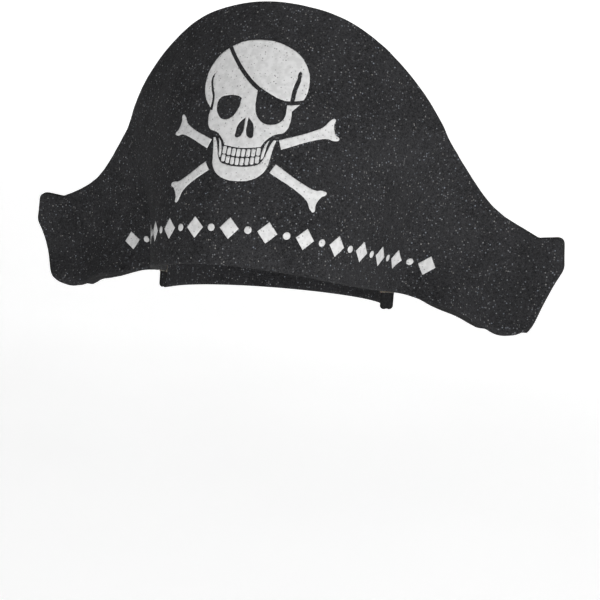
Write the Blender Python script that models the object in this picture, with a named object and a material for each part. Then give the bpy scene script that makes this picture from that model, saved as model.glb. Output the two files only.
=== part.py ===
"""Foam pirate hat: a printed front panel bent round the head and closed by a foam strap behind.

Metres, +Z up. The face of the hat looks along -Y and the wearer's left is +X. The origin is the
centre of the head opening, level with the rim at the temples.

Every flat piece is drawn in the sheet's own coordinates, s across and h up, and is then bent onto
the hat's surface. The surface turns four times on its way out from the centre line: round the
forehead, forward at the temple, back along the wing, and outward again at the tip.
"""

import math

import bmesh
import bpy
import numpy as np
from mathutils import Vector

MM = 0.001

# Foam sheet and head opening
FOAM_THICKNESS = 9.5 * MM
HEAD_LENGTH = 195.0 * MM
FRONT_Y = -(HEAD_LENGTH / 2 + FOAM_THICKNESS)
BUILD_GAP = 0.3 * MM

# Lean of the panel: it stands upright at the rim and leans back above
LEAN_SLOPE = 0.40
LEAN_START = 38.0 * MM

# Turns of the surface, in degrees: each is (turn high up, extra turn at the rim, fading height in m)
FOREHEAD_TURN = (34.0, 40.0, 110.0 * MM)
TEMPLE_TURN = (-14.0, -81.0, 62.0 * MM)
WING_TURN = (-24.0, 90.0, 52.0 * MM)
TIP_TURN = (-34.0, -12.0, 40.0 * MM)

# Where along the sheet each turn happens
FOREHEAD_REACH_TOP = 105.0 * MM
FOREHEAD_REACH_RIM = 150.0 * MM
TEMPLE_PLACE, TEMPLE_WIDTH = 168.0 * MM, 9.0 * MM
WING_PLACE, WING_WIDTH = 212.0 * MM, 25.0 * MM
TIP_PLACE, TIP_WIDTH, TIP_SLANT = 250.0 * MM, 14.5 * MM, -0.05

# The wearer's right wing sits a little higher than the left one
WING_RISE, RISE_PLACE, RISE_WIDTH = 5.5 * MM, 233.0 * MM, 40.0 * MM

PATH_STEP = 2.0 * MM

# Outline of the panel, right half: crown and rim as (s, h) through which a smooth curve runs
CROWN = ((0, 209.5), (30, 206.7), (60, 199.3), (90, 184.5), (120, 163), (150, 136),
         (184, 102.2), (216.4, 73.3), (243, 56.5), (260.5, 48.3))
RIM = ((0, 16.5), (40, 14), (80, 8.5), (120, 3), (150, -0.5), (184, -4.2), (218, -11.5), (246, -23.5))
TIP_CORNERS = ((279.6, 50.2, 6.5), (292.5, 25.3, 4), (281.5, -27, 13), (258.7, -31, 6.5))
OUTLINE_STEP = 10.0 * MM

# Grid that lets a flat piece bend: coarse on the forehead, fine through the folds
COARSE_STEP, FINE_STEP, ROW_STEP = 10.0 * MM, 3.0 * MM, 12.0 * MM
FINE_FROM, FINE_TO = 150.0 * MM, 276.0 * MM
ROWS_FROM, ROWS_TO = -36.0 * MM, 210.0 * MM
WELD_DISTANCE, SLICE_DISTANCE = 0.01 * MM, 0.05 * MM
FLAT_ANGLE, SHARP_ANGLE = math.radians(0.5), math.radians(40.0)

# Strap behind the head; levels run from its lower edge, -1, to its upper edge, +1
STRAP_MIDDLE, STRAP_HALF_HEIGHT = 2.0 * MM, 19.0 * MM
STRAP_LEVELS = (-1.0, -0.6, -0.27, 0.0, 0.3, 0.65, 1.0)
STRAP_ROOT_X = 101.5 * MM
STRAP_START = (100.0 * MM, 26.0 * MM)
STRAP_DIRECTION = (-0.04, 0.999, 0.0)
STRAP_SIDE_HANDLE, STRAP_BACK_HANDLE = 45.0 * MM, 52.0 * MM
STRAP_ROOT_STEPS, STRAP_STEPS, STRAP_DEPTHS = 2, 14, 6
REAR_SEARCH, SEARCH_STEPS = (110.0 * MM, 190.0 * MM), 20
GLUE_THICKNESS = 0.6 * MM
GLUE_FIRST_LEVEL, GLUE_LEVELS = 2, 4
PANEL_CLEARANCE = 1.2 * MM
END_CLEARANCE = PANEL_CLEARANCE + GLUE_THICKNESS + BUILD_GAP

# Printed ink
INK_THICKNESS = 0.3 * MM
CUTTER_REACH = 5.0 * MM
PRINT_LEFT, PRINT_BOTTOM, PRINT_TOP = -85.0, 60.0, 200.0

# Skull print, mm in the sheet's coordinates; a third value of 1 marks a sharp corner
SKULL_HALF = ((0, 178.5), (24, 172.5), (36, 161), (40, 147), (37.5, 135), (31, 127, 1), (31, 118),
              (28.5, 112), (21.5, 109.2), (16, 104.5), (13.4, 100.1, 1), (0, 98.7))
EYE_SOCKET = ((-6.5, 134.7, 1), (-9.1, 136.1), (-18.1, 136.6), (-24.4, 134.3), (-25.8, 129.1),
              (-23.4, 122.4), (-18.9, 118.9), (-13, 119.8), (-8, 126.5))
EYE_PATCH = ((4.4, 144, 1), (4.2, 133.7), (5.2, 126.4), (8, 120.7), (13, 116.9), (18.1, 116.3),
             (23.4, 118.1), (26.5, 121.9), (27, 127.8), (26.8, 136, 1))
PATCH_STRAP = ((-28, 180), (-15.7, 162.3), (-7, 152.2), (2.7, 143.5), (14, 136.8), (22, 133.4),
               (29, 132.7), (41, 135))
PATCH_STRAP_WIDTH = 3.0
NOSE_HALF = ((1, 120.8, 1), (0.9, 115.5), (1.2, 110), (3.2, 106.6), (6.2, 106.4), (6.6, 110), (5, 116.5))
LEFT_CREASE = ((32.4, 156.2), (33.7, 151), (32.2, 142.5), (31.4, 132, 1), (28.5, 132, 1), (29.1, 143),
               (30.8, 150.5))
RIGHT_CREASE = ((-32.4, 154.2, 1), (-35.1, 149.8), (-33.7, 141.6), (-31.4, 135.4), (-31.6, 125.5, 1),
                (-29, 125.5, 1), (-29.5, 135.9), (-31.9, 142.2), (-33.4, 149.2))
JAW_OUTER_HALF = ((0, 75.2), (8, 76), (15.5, 79.5), (19.8, 85), (21.2, 91.5), (22, 97.5), (23.6, 105.3, 1))
JAW_INNER_HALF = ((22, 105.6, 1), (20.1, 102), (18.4, 96.5), (16.8, 91.8), (14.4, 88.2), (8.8, 86.2),
                  (0, 85.4))
GUM_HALF = ((19, 105, 1), (17.2, 103.2), (15.7, 99.5), (14.9, 94.8), (15, 91.2, 1), (16.3, 92.3),
            (17.1, 96.4), (17.9, 101.8))

# Teeth: each row is (height at the middle, height of a tooth, rise towards the sides per mm squared)
TEETH_ROWS = {"upper": (95.1, 5.4, 0.010), "lower": (88.95, 5.0, 0.013)}
TEETH_ACROSS, TOOTH_PITCH, TOOTH_WIDTH, TOOTH_CORNER = 8, 3.58, 2.75, 0.6

# Crossed bones: each arm runs from the jaw outwards, to the middle between its two end points
BONE_ARMS = {"upper_left": ((26.7, 102.4), (65, 116.8)), "lower_left": ((24.2, 85.6), (61.2, 64.4)),
             "upper_right": ((-26, 100.6), (-61.2, 114.6)), "lower_right": ((-24.6, 84.8), (-54.2, 63.9))}
BONE_HALF_SHAFT = 3.5
BONE_KNUCKLE = ((-14, 3.6), (-8, 4.8), (-2.6, 7.9), (0.5, 7.8), (-1.4, 3.2))

# Border along the rim, in place of any lettering
BORDER_LIFT = 26.0
BORDER_PITCH, BORDER_DIAMONDS = 27.0, 15
DIAMOND_HALF_WIDTH, DIAMOND_HALF_HEIGHT, BORDER_DOT_RADIUS = 7.0, 7.5, 2.6

FOAM_COLOUR = (0.021, 0.021, 0.022, 1.0)
STRAP_COLOUR = (0.019, 0.019, 0.020, 1.0)
INK_COLOUR = (0.75, 0.75, 0.74, 1.0)
GLUE_COLOUR = (0.55, 0.47, 0.30, 1.0)


def smooth_step(value, centre, half_width):
    """Rise from 0 to 1 over centre - half_width to centre + half_width."""
    share = np.clip((value - centre) / (2 * half_width) + 0.5, 0.0, 1.0)
    return share * share * (3 - 2 * share)


def smooth_height(knots, place):
    """Height of the smooth curve through knots, in mm, at a distance place from the centre, in m."""
    place = min(abs(place) / MM, knots[-1][0])
    below = max(index for index, knot in enumerate(knots[:-1]) if knot[0] <= place)

    def slope(index):
        before, after = max(index - 1, 0), min(index + 1, len(knots) - 1)
        if index == 0:
            return 0.0
        return (knots[after][1] - knots[before][1]) / (knots[after][0] - knots[before][0])

    width = knots[below + 1][0] - knots[below][0]
    share = (place - knots[below][0]) / width
    low, high = knots[below][1], knots[below + 1][1]
    hermite = ((2 * share ** 3 - 3 * share ** 2 + 1) * low + (3 * share ** 2 - 2 * share ** 3) * high
               + (share ** 3 - 2 * share ** 2 + share) * width * slope(below)
               + (share ** 3 - share ** 2) * width * slope(below + 1))
    return hermite * MM


def turn_size(turn, above_rim):
    """Size of one turn, in radians, at a height above the rim."""
    settled, extra, fade = turn
    return math.radians(settled + extra * math.exp(-above_rim / fade))


def heading(along, above_rim):
    """Direction of the surface in plan at each distance along it, 0 across and 90 degrees back."""
    settled, extra, fade = FOREHEAD_TURN
    forehead_top = math.radians(settled) * np.sin(np.clip(along / FOREHEAD_REACH_TOP, 0, 1) * math.pi / 2)
    forehead_rim = (math.radians(extra) * math.exp(-(above_rim / fade) ** 2)
                    * smooth_step(along, FOREHEAD_REACH_RIM / 2, FOREHEAD_REACH_RIM / 2))
    return (forehead_top + forehead_rim
            + turn_size(TEMPLE_TURN, above_rim) * smooth_step(along, TEMPLE_PLACE, TEMPLE_WIDTH)
            + turn_size(WING_TURN, above_rim) * smooth_step(along, WING_PLACE, WING_WIDTH)
            + turn_size(TIP_TURN, above_rim)
            * smooth_step(along, TIP_PLACE + TIP_SLANT * above_rim, TIP_WIDTH))


def face_point(s, h):
    """Point of the panel's front face at sheet coordinates s, h."""
    above_rim = max(h - smooth_height(RIM, s), 0.0)
    steps = max(int(math.ceil(abs(s) / PATH_STEP)), 1)
    middles = (np.arange(steps) + 0.5) * abs(s) / steps
    angles = heading(middles, above_rim)
    across = float(np.cos(angles).sum()) * abs(s) / steps
    back = float(np.sin(angles).sum()) * abs(s) / steps
    lean = LEAN_SLOPE * (above_rim - LEAN_START * (1 - math.exp(-above_rim / LEAN_START)))
    rise = WING_RISE * float(smooth_step(-s, RISE_PLACE, RISE_WIDTH))
    return Vector((math.copysign(across, s), FRONT_Y + lean + back, h + rise))


def face_normal(s, h):
    """Outward direction of the front face at sheet coordinates s, h."""
    reach = 1.0 * MM
    across = face_point(s + reach, h) - face_point(s - reach, h)
    upward = face_point(s, h + reach) - face_point(s, h - reach)
    return across.cross(upward).normalized()


def bend(mesh):
    """Carry a flat piece, drawn in s, h and height off the face, onto the hat's surface."""
    for vertex in mesh.vertices:
        s, h, off = vertex.co
        vertex.co = face_point(s, h) + face_normal(s, h) * off


def new_material(name, colour, roughness):
    material = bpy.data.materials.new(name)
    material.use_nodes = True
    shader = material.node_tree.nodes["Principled BSDF"]
    shader.inputs["Base Color"].default_value = colour
    shader.inputs["Roughness"].default_value = roughness
    shader.inputs["Metallic"].default_value = 0.0
    return material


def flat_plate(name, outlines, low, high, resolution=4):
    """Closed plate between heights low and high, from outlines of (s, h[, corner]) anchors in mm."""
    curve = bpy.data.curves.new(name, "CURVE")
    curve.dimensions = "2D"
    curve.fill_mode = "BOTH"
    curve.resolution_u = resolution
    curve.extrude = (high - low) / 2
    for anchors in outlines:
        spline = curve.splines.new("BEZIER")
        spline.bezier_points.add(len(anchors) - 1)
        spline.use_cyclic_u = True
        for point, anchor in zip(spline.bezier_points, anchors):
            point.co = (anchor[0] * MM, anchor[1] * MM, 0)
            sharp = len(anchor) > 2 and anchor[2]
            point.handle_left_type = point.handle_right_type = "VECTOR" if sharp else "AUTO"
    plate = bpy.data.objects.new(name, curve)
    work.objects.link(plate)
    plate.location.z = (high + low) / 2
    return mesh_of(plate)


def mesh_of(source):
    """Replace an object by a plain mesh of what it evaluates to, in world coordinates."""
    bpy.context.view_layer.update()
    depsgraph = bpy.context.evaluated_depsgraph_get()
    mesh = bpy.data.meshes.new_from_object(source.evaluated_get(depsgraph), depsgraph=depsgraph)
    mesh.transform(source.matrix_world)
    name = source.name
    bpy.data.objects.remove(source)
    plain = bpy.data.objects.new(name, mesh)
    work.objects.link(plain)
    edit = bmesh.new()
    edit.from_mesh(mesh)
    bmesh.ops.remove_doubles(edit, verts=edit.verts, dist=WELD_DISTANCE)
    bmesh.ops.dissolve_limit(edit, angle_limit=FLAT_ANGLE, verts=edit.verts, edges=edit.edges)
    edit.to_mesh(mesh)
    edit.free()
    return plain


def cut(plate, operation, cutter):
    """Cut or keep the part of a plate that a second plate covers; the second one is used up."""
    boolean = plate.modifiers.new("cut", "BOOLEAN")
    boolean.operation = operation
    boolean.object = cutter
    result = mesh_of(plate)
    bpy.data.objects.remove(cutter)
    return result


def slice_plate(mesh, columns, rows):
    """Split a plate along straight lines, so that it can bend."""
    edit = bmesh.new()
    edit.from_mesh(mesh)
    for normal, places in (((1, 0, 0), columns), ((0, 1, 0), rows)):
        for place in places:
            point = Vector(normal) * place
            geometry = edit.verts[:] + edit.edges[:] + edit.faces[:]
            bmesh.ops.bisect_plane(edit, geom=geometry, plane_co=point, plane_no=normal,
                                   dist=SLICE_DISTANCE)
    bmesh.ops.triangulate(edit, faces=edit.faces[:])
    edit.to_mesh(mesh)
    edit.free()


def mirrored(places):
    return sorted(set(places) | {-place for place in places})


def panel_columns():
    coarse = np.arange(0, FINE_FROM, COARSE_STEP)
    fine = np.arange(FINE_FROM, FINE_TO, FINE_STEP)
    return mirrored([float(place) for place in np.concatenate([coarse, fine])])


def grid_rows():
    return [float(row) for row in np.arange(ROWS_FROM, ROWS_TO, ROW_STEP)]


def finish(piece, material, smooth=True):
    """Give a finished piece its material and move it into the hat's collection."""
    piece.data.materials.clear()
    piece.data.materials.append(material)
    if smooth:
        piece.data.shade_smooth()
        piece.data.set_sharp_from_angle(angle=SHARP_ANGLE)
    work.objects.unlink(piece)
    hat.objects.link(piece)
    return piece


def rounded_corner(before, corner, after, radius, steps=4):
    """Arc-like rounding of a corner, as points in mm."""
    start = corner + (before - corner).normalized() * radius
    end = corner + (after - corner).normalized() * radius
    points = []
    for step in range(steps + 1):
        share = step / steps
        points.append(start * (1 - share) ** 2 + corner * 2 * share * (1 - share) + end * share ** 2)
    return points


def panel_outline():
    """Right half of the panel's outline, from the top centre round the tip to the rim's centre."""
    crown_end, rim_end = CROWN[-1][0] * MM, RIM[-1][0] * MM
    crown_places = np.arange(0, crown_end + OUTLINE_STEP / 2, OUTLINE_STEP)
    rim_places = np.arange(0, rim_end, OUTLINE_STEP)
    points = [(place / MM, smooth_height(CROWN, place) / MM) for place in crown_places]
    corners = [Vector(corner[:2]) for corner in TIP_CORNERS]
    chain = [Vector(points[-1])] + corners + [Vector((rim_end / MM, RIM[-1][1]))]
    for index, corner in enumerate(TIP_CORNERS):
        arc = rounded_corner(chain[index], chain[index + 1], chain[index + 2], corner[2])
        points.extend((point.x, point.y) for point in arc)
    points.extend((place / MM, smooth_height(RIM, place) / MM) for place in reversed(rim_places))
    return points


def both_halves(half):
    """Closed outline from a half that runs from the centre line to the centre line."""
    left = [(-anchor[0],) + tuple(anchor[1:]) for anchor in reversed(half) if anchor[0] > 0.01]
    return list(half) + left


def opposite(outline):
    """An outline's mirror image across the centre line."""
    return [(-anchor[0],) + tuple(anchor[1:]) for anchor in outline]


def as_corners(points):
    return [(point[0], point[1], 1) for point in points]


def make_panel():
    outline = as_corners(both_halves(panel_outline()))
    panel = flat_plate("front_panel", [outline], -FOAM_THICKNESS, 0.0)
    slice_plate(panel.data, panel_columns(), grid_rows())
    bend(panel.data)
    return finish(panel, foam)


def make_ink(plate):
    """Bend a flat island of ink over the panel's face and finish it."""
    slice_plate(plate.data, panel_columns(), grid_rows())
    bend(plate.data)
    return finish(plate, ink)


def ink_plate(name, outlines, resolution=4):
    return flat_plate(name, outlines, BUILD_GAP, BUILD_GAP + INK_THICKNESS, resolution)


def cutter_plate(name, outlines, resolution=4):
    """Plate that stands well past both faces of the ink."""
    cutter = flat_plate(name, outlines, -CUTTER_REACH, CUTTER_REACH, resolution)
    cutter.hide_render = True
    cutter.display_type = "WIRE"
    return cutter


def strap_line(side):
    """Edge of the eye patch's strap: side +1 is its upper edge and -1 its lower one."""
    points = []
    for index, (s, h) in enumerate(PATCH_STRAP):
        before = PATCH_STRAP[max(index - 1, 0)]
        after = PATCH_STRAP[min(index + 1, len(PATCH_STRAP) - 1)]
        run = Vector((after[0] - before[0], after[1] - before[1])).normalized()
        offset = Vector((-run.y, run.x)) * side * PATCH_STRAP_WIDTH / 2
        points.append((s + offset.x, h + offset.y))
    return points


def make_skull():
    """Skull print: a crown above the patch's strap, and a face below it with its openings."""
    silhouette = both_halves(SKULL_HALF)
    upper = strap_line(1)
    above = [(upper[0][0], PRINT_TOP, 1)] + as_corners(upper[:1]) + upper[1:-1] + as_corners(upper[-1:])
    above.append((upper[-1][0], PRINT_TOP, 1))
    lower = strap_line(-1)
    below = [(PRINT_LEFT, PRINT_BOTTOM, 1), (PRINT_LEFT, PRINT_TOP, 1)] + as_corners(lower[:1])
    below += lower[1:-1] + as_corners(lower[-1:]) + [(lower[-1][0], PRINT_BOTTOM, 1)]

    crown = ink_plate("print_skull_crown", [silhouette], resolution=5)
    crown = cut(crown, "INTERSECT", cutter_plate("above_strap", [above]))
    crown = cut(crown, "DIFFERENCE", cutter_plate("left_crease", [LEFT_CREASE]))
    make_ink(crown)

    face = ink_plate("print_skull_face", [silhouette], resolution=5)
    face = cut(face, "INTERSECT", cutter_plate("below_strap", [below]))
    openings = {"eye_socket": EYE_SOCKET, "eye_patch": EYE_PATCH, "left_nostril": NOSE_HALF,
                "right_nostril": opposite(NOSE_HALF), "right_crease": RIGHT_CREASE}
    for name, outline in openings.items():
        face = cut(face, "DIFFERENCE", cutter_plate(name, [outline]))
    make_ink(face)


def make_jaw():
    outer = list(JAW_OUTER_HALF)
    inner = list(JAW_INNER_HALF)
    left = opposite(reversed(inner[:-1])) + opposite(reversed(outer[1:]))
    make_ink(ink_plate("print_jaw", [outer + inner + left]))
    make_ink(ink_plate("print_gum_left", [GUM_HALF]))
    make_ink(ink_plate("print_gum_right", [opposite(GUM_HALF)]))


def make_teeth():
    """Two rows of small square teeth on a slight smile."""
    for row, (row_height, tooth_height, smile) in TEETH_ROWS.items():
        for index in range(TEETH_ACROSS):
            middle = (index - (TEETH_ACROSS - 1) / 2) * TOOTH_PITCH
            base = row_height + smile * middle ** 2
            half_width, half_height = TOOTH_WIDTH / 2, tooth_height / 2
            outline = []
            for s_sign, h_sign in ((1, 1), (-1, 1), (-1, -1), (1, -1)):
                upright = (middle + s_sign * half_width, base + h_sign * (half_height - TOOTH_CORNER), 1)
                level = (middle + s_sign * (half_width - TOOTH_CORNER), base + h_sign * half_height, 1)
                outline += [upright, level] if s_sign == h_sign else [level, upright]
            make_ink(ink_plate(f"print_tooth_{row}_{index + 1}", [outline], resolution=1))


def make_bones():
    for name, (inner, outer) in BONE_ARMS.items():
        start, end = Vector(inner), Vector(outer)
        along = (end - start).normalized()
        across = Vector((-along.y, along.x))
        upper = [(start + across * BONE_HALF_SHAFT, 1)]
        upper += [(end + along * x + across * y, 0) for x, y in BONE_KNUCKLE]
        lower = [(end + along * x - across * y, 0) for x, y in reversed(BONE_KNUCKLE)]
        lower.append((start - across * BONE_HALF_SHAFT, 1))
        outline = [(point.x, point.y, sharp) for point, sharp in upper + lower]
        make_ink(ink_plate(f"print_bone_{name}", [outline]))


def border_point(place):
    """Centre of a border motif and the direction of the border there, in mm."""
    centre = Vector((place, smooth_height(RIM, place * MM) / MM + BORDER_LIFT))
    before, after = smooth_height(RIM, (place - 1) * MM), smooth_height(RIM, (place + 1) * MM)
    return centre, Vector((2, (after - before) / MM)).normalized()


def make_border():
    """Diamonds and dots that follow the rim."""
    middle = (BORDER_DIAMONDS - 1) / 2
    for index in range(BORDER_DIAMONDS):
        centre, along = border_point((index - middle) * BORDER_PITCH)
        across = Vector((-along.y, along.x))
        tips = (along * DIAMOND_HALF_WIDTH, across * DIAMOND_HALF_HEIGHT,
                along * -DIAMOND_HALF_WIDTH, across * -DIAMOND_HALF_HEIGHT)
        outline = [(centre.x + tip.x, centre.y + tip.y, 1) for tip in tips]
        make_ink(ink_plate(f"print_diamond_{index + 1:02d}", [outline], resolution=1))
    for index in range(BORDER_DIAMONDS - 1):
        centre, along = border_point((index + 0.5 - middle) * BORDER_PITCH)
        outline = [(centre.x + BORDER_DOT_RADIUS * math.cos(quarter * math.pi / 2),
                    centre.y + BORDER_DOT_RADIUS * math.sin(quarter * math.pi / 2)) for quarter in range(4)]
        make_ink(ink_plate(f"print_dot_{index + 1:02d}", [outline], resolution=3))


def rear_point(s, h, clearance):
    """Point a clearance behind the panel's rear face at sheet coordinates s, h."""
    return face_point(s, h) - face_normal(s, h) * (FOAM_THICKNESS + clearance)


def rear_place(x, h, clearance):
    """Sheet coordinate s at which the surface a clearance behind the panel reaches x."""
    near, far = REAR_SEARCH
    for halving in range(SEARCH_STEPS):
        middle = (near + far) / 2
        if rear_point(middle, h, clearance).x < x:
            near = middle
        else:
            far = middle
    return (near + far) / 2


def strap_point(station, level, off):
    """Point on the left half of the strap at a station, level and depth from its outer face.

    The strap's end is cut to the panel's rear face, just behind the temple fold. The strap runs
    straight back from there, and then on a smooth curve to the middle of the back.
    """
    h = STRAP_MIDDLE + level * STRAP_HALF_HEIGHT
    start = Vector((STRAP_START[0] - off, STRAP_START[1], h))
    if station < STRAP_ROOT_STEPS:
        root = rear_point(rear_place(STRAP_ROOT_X - off, h, END_CLEARANCE), h, END_CLEARANCE)
        return root.lerp(start, station / STRAP_ROOT_STEPS)
    back = Vector((0, -FRONT_Y - off, h))
    shrink = 1 - off / HEAD_LENGTH
    handle_side = start + Vector(STRAP_DIRECTION) * STRAP_SIDE_HANDLE * shrink
    handle_back = back + Vector((STRAP_BACK_HANDLE * shrink, 0, 0))
    share = (station - STRAP_ROOT_STEPS) / (STRAP_STEPS - STRAP_ROOT_STEPS)
    rest = 1 - share
    return (start * rest ** 3 + handle_side * 3 * share * rest ** 2
            + handle_back * 3 * share ** 2 * rest + back * share ** 3)


def lattice_object(name, place, counts):
    """Solid with faces over the six sides of a lattice; place gives its point at each i, j, k."""
    edit = bmesh.new()
    verts = {}

    def vert(key):
        if key not in verts:
            verts[key] = edit.verts.new(place(*key))
        return verts[key]

    for axis in range(3):
        first, second = (axis + 1) % 3, (axis + 2) % 3
        for layer in (0, counts[axis] - 1):
            for u in range(counts[first] - 1):
                for v in range(counts[second] - 1):
                    corners = []
                    for du, dv in ((0, 0), (1, 0), (1, 1), (0, 1)):
                        key = [0, 0, 0]
                        key[axis], key[first], key[second] = layer, u + du, v + dv
                        corners.append(vert(tuple(key)))
                    edit.faces.new(corners)
    bmesh.ops.recalc_face_normals(edit, faces=edit.faces[:])
    mesh = bpy.data.meshes.new(name)
    edit.to_mesh(mesh)
    edit.free()
    solid = bpy.data.objects.new(name, mesh)
    work.objects.link(solid)
    return solid


def make_strap():
    """Foam band lofted from one end round the back of the head to the other."""
    stations, levels, depths = 2 * STRAP_STEPS + 1, len(STRAP_LEVELS), STRAP_DEPTHS + 1

    def place(station, level, depth):
        from_end = min(station, stations - 1 - station)
        point = strap_point(from_end, STRAP_LEVELS[level], FOAM_THICKNESS * depth / STRAP_DEPTHS)
        if station > STRAP_STEPS:
            point.x = -point.x
        return point

    finish(lattice_object("back_strap", place, (stations, levels, depths)), strap_foam)


def make_glue_pads():
    """Films of adhesive between the strap's cut ends and the panel's rear face."""
    for side, sign in (("right", -1), ("left", 1)):

        def place(layer, level, depth):
            h = STRAP_MIDDLE + STRAP_LEVELS[GLUE_FIRST_LEVEL + level] * STRAP_HALF_HEIGHT
            x = STRAP_ROOT_X - FOAM_THICKNESS * depth / STRAP_DEPTHS
            point = rear_point(rear_place(x, h, END_CLEARANCE), h, PANEL_CLEARANCE + GLUE_THICKNESS * layer)
            return Vector((sign * point.x, point.y, point.z))

        pad = lattice_object(f"{side}_glue_pad", place, (2, GLUE_LEVELS, STRAP_DEPTHS + 1))
        finish(pad, glue, smooth=False)


for leftover in list(bpy.data.objects):
    bpy.data.objects.remove(leftover)

hat = bpy.data.collections.new("pirate_hat")
work = bpy.data.collections.new("work")
bpy.context.scene.collection.children.link(hat)
bpy.context.scene.collection.children.link(work)

foam = new_material("foam", FOAM_COLOUR, 0.9)
strap_foam = new_material("strap_foam", STRAP_COLOUR, 0.9)
ink = new_material("ink", INK_COLOUR, 0.7)
glue = new_material("glue", GLUE_COLOUR, 0.4)

make_panel()
make_strap()
make_glue_pads()
make_skull()
make_jaw()
make_teeth()
make_bones()
make_border()
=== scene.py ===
"""Looks of the foam pirate hat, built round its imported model.

Everything is in metres, in the model's frame. Flat pieces are drawn in the foam sheet's own
coordinates, s across and h up, divided finely, and then bent onto the hat's surface.
"""

import math

import bmesh
import bpy
import numpy as np
from mathutils import Matrix, Vector, noise


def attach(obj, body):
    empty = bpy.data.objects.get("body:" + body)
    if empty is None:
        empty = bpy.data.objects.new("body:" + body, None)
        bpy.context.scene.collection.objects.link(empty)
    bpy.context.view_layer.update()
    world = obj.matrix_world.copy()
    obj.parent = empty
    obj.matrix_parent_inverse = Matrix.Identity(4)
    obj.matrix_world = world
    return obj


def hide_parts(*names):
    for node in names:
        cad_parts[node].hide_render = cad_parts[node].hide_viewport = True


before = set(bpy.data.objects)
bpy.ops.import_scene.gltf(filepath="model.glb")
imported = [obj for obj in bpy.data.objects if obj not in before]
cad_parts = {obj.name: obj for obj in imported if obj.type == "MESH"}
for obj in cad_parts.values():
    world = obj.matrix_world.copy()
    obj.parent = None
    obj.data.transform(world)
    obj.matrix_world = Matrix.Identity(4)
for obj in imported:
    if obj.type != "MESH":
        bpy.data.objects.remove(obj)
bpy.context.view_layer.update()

MM = 0.001

# Foam sheet and head opening
FOAM_THICKNESS = 9.5 * MM
HEAD_LENGTH = 195.0 * MM
FRONT_Y = -(HEAD_LENGTH / 2 + FOAM_THICKNESS)

# Lean of the panel: it stands upright at the rim and leans back above
LEAN_SLOPE = 0.40
LEAN_START = 38.0 * MM

# Turns of the surface, in degrees: each is (turn high up, extra turn at the rim, fading height in m)
FOREHEAD_TURN = (34.0, 40.0, 110.0 * MM)
TEMPLE_TURN = (-14.0, -81.0, 62.0 * MM)
WING_TURN = (-24.0, 90.0, 52.0 * MM)
TIP_TURN = (-34.0, -12.0, 40.0 * MM)

# Where along the sheet each turn happens
FOREHEAD_REACH_TOP = 105.0 * MM
FOREHEAD_REACH_RIM = 150.0 * MM
TEMPLE_PLACE, TEMPLE_WIDTH = 168.0 * MM, 9.0 * MM
WING_PLACE, WING_WIDTH = 212.0 * MM, 25.0 * MM
TIP_PLACE, TIP_WIDTH, TIP_SLANT = 250.0 * MM, 14.5 * MM, -0.05

# The wearer's right wing sits a little higher than the left one
WING_RISE, RISE_PLACE, RISE_WIDTH = 5.5 * MM, 233.0 * MM, 40.0 * MM

TABLE_STEP = 1.0 * MM
TABLE_REACH, TABLE_HEIGHT = 300, 250

# Outline of the panel, right half: crown and rim as (s, h) through which a smooth curve runs
CROWN = ((0, 209.5), (30, 206.7), (60, 199.3), (90, 184.5), (120, 163), (150, 136),
         (184, 102.2), (216.4, 73.3), (243, 56.5), (260.5, 48.3))
RIM = ((0, 16.5), (40, 14), (80, 8.5), (120, 3), (150, -0.5), (184, -4.2), (218, -11.5), (246, -23.5))
TIP_CORNERS = ((279.6, 50.2, 6.5), (292.5, 25.3, 4), (281.5, -27, 13), (258.7, -31, 6.5))
OUTLINE_STEP = 2.0
CORNER_STEPS = 9

# Die-cut edge: rounded where the knife pressed the skin, and a little hollow between
EDGE_ROUNDING, EDGE_HOLLOW = 1.5, 0.45
STRAP_ROUNDING = 3.0
ROUNDING_STEPS, HOLLOW_STEPS = 5, 6
EDGE_WANDER, EDGE_WANDER_LENGTH = 0.16, 9.0

# Fine grids, in m
PANEL_GRID = 2.5 * MM
PANEL_LOWEST, PANEL_HIGHEST = -40.0 * MM, 220.0 * MM
INK_GRID = 1.25 * MM

# Slow unevenness of the sheet: (size in m, wavelength in m)
RELIEF = ((0.55 * MM, 48.0 * MM), (0.16 * MM, 13.0 * MM))

# Strap behind the head
STRAP_MIDDLE, STRAP_HALF_HEIGHT = 2.0 * MM, 19.0 * MM
STRAP_ROOT_X = 101.5 * MM
STRAP_START = (100.0 * MM, 26.0 * MM)
STRAP_DIRECTION = (-0.04, 0.999, 0.0)
STRAP_SIDE_HANDLE, STRAP_BACK_HANDLE = 45.0 * MM, 52.0 * MM
STRAP_ROOT_STEPS, STRAP_STEPS = 2, 14
STRAP_DIVISIONS = 5
REAR_SEARCH, SEARCH_STEPS = (110.0 * MM, 190.0 * MM), 22
GLUE_THICKNESS, GLUE_BED = 0.7 * MM, 0.1 * MM
GLUE_LOW, GLUE_HIGH = -0.27, 0.65
GLUE_ACROSS, GLUE_ALONG, GLUE_LAYERS = 14, 26, 4
GLUE_SQUEEZE, GLUE_WANDER, GLUE_WANDER_LENGTH = 0.35 * MM, 0.5 * MM, 0.35

# Ink film: it soaks in a little and stands a little proud
INK_LOW, INK_HIGH = -0.12 * MM, 0.22 * MM
INK_WANDER = ((0.16 * MM, 2.2 * MM), (0.07 * MM, 0.9 * MM))
INK_CURVE_STEPS = 14

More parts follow.
